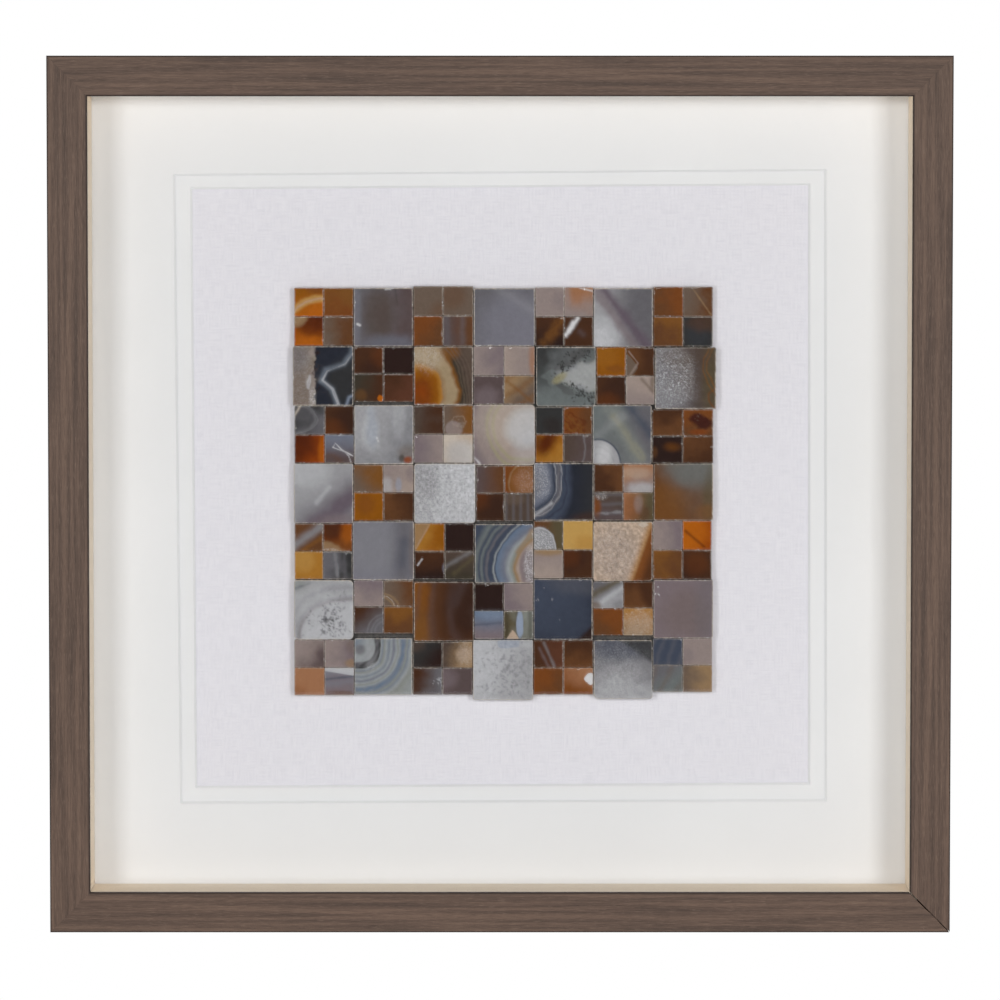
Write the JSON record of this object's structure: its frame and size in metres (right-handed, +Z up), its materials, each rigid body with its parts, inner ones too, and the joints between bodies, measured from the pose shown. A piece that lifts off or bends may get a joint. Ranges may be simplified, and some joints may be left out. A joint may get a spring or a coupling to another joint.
{
  "type": "mosaic panel",
  "caption": "Square stone mosaic on a linen board behind a double mat, set in a deep glazed wood shadow-box frame that hangs on a wall.",
  "frame": {"origin": "middle of the hanging cleat's back face, in the plane of the wall", "axes": "+Y into the wall, square to the panel; +Z up; +X to the right when the panel is looked at from the front"},
  "size_m": [0.6112, 0.0708, 0.5942],
  "materials": {
    "rail_wood": "open-grained wood veneer, stained taupe brown, satin",
    "glazing": "clear float glass",
    "spacer_card": "cream card strips, matt",
    "mat_card": "off-white mat board with a bevel cut",
    "linen": "fine pale linen stretched over board",
    "backing": "brown hardboard",
    "cleat_wood": "planed pine",
    "agate_large": "polished agate, grey, blue, white and brown",
    "agate_small": "polished agate, brown, rust, amber and taupe"
  },
  "bodies": {
    "root": {"backing_board": "backing", "glazing": "glazing", "hanging_cleat": "cleat_wood", "inner_mat": "mat_card", "linen_board": "linen", "outer_mat": "mat_card", "rail_bottom": "rail_wood", "rail_left": "rail_wood", "rail_right": "rail_wood", "rail_top": "rail_wood", "small_stones_r1_c1_r2_c2": "agate_small", "small_stones_r1_c3_r2_c4": "agate_small", "small_stones_r1_c5": "agate_small", "small_stones_r1_c7": "agate_small", "small_stones_r2_c6": "agate_small", "small_stones_r3_c1": "agate_small", "small_stones_r3_c3": "agate_small", "small_stones_r3_c5": "agate_small", "small_stones_r3_c7": "agate_small", "small_stones_r4_c2": "agate_small", "small_stones_r4_c4": "agate_small", "small_stones_r4_c6": "agate_small", "small_stones_r5_c1": "agate_small", "small_stones_r5_c3": "agate_small", "small_stones_r5_c5_r6_c6": "agate_small", "small_stones_r5_c7": "agate_small", "small_stones_r6_c2": "agate_small", "small_stones_r6_c4": "agate_small", "small_stones_r7_c1": "agate_small", "small_stones_r7_c3": "agate_small", "small_stones_r7_c5": "agate_small", "small_stones_r7_c7": "agate_small", "spacer_bottom": "spacer_card", "spacer_left": "spacer_card", "spacer_right": "spacer_card", "spacer_top": "spacer_card", "stone_r1_c2": "agate_large", "stone_r1_c4": "agate_large", "stone_r1_c6": "agate_large", "stone_r2_c1": "agate_large", "stone_r2_c3": "agate_large", "stone_r2_c5": "agate_large", "stone_r2_c7": "agate_large", "stone_r3_c2": "agate_large", "stone_r3_c4": "agate_large", "stone_r3_c6": "agate_large", "stone_r4_c1": "agate_large", "stone_r4_c3": "agate_large", "stone_r4_c5": "agate_large", "stone_r4_c7": "agate_large", "stone_r5_c2": "agate_large", "stone_r5_c4": "agate_large", "stone_r5_c6": "agate_large", "stone_r6_c1": "agate_large", "stone_r6_c3": "agate_large", "stone_r6_c5": "agate_large", "stone_r6_c7": "agate_large", "stone_r7_c2": "agate_large", "stone_r7_c4": "agate_large", "stone_r7_c6": "agate_large"}
  },
  "joints": []
}
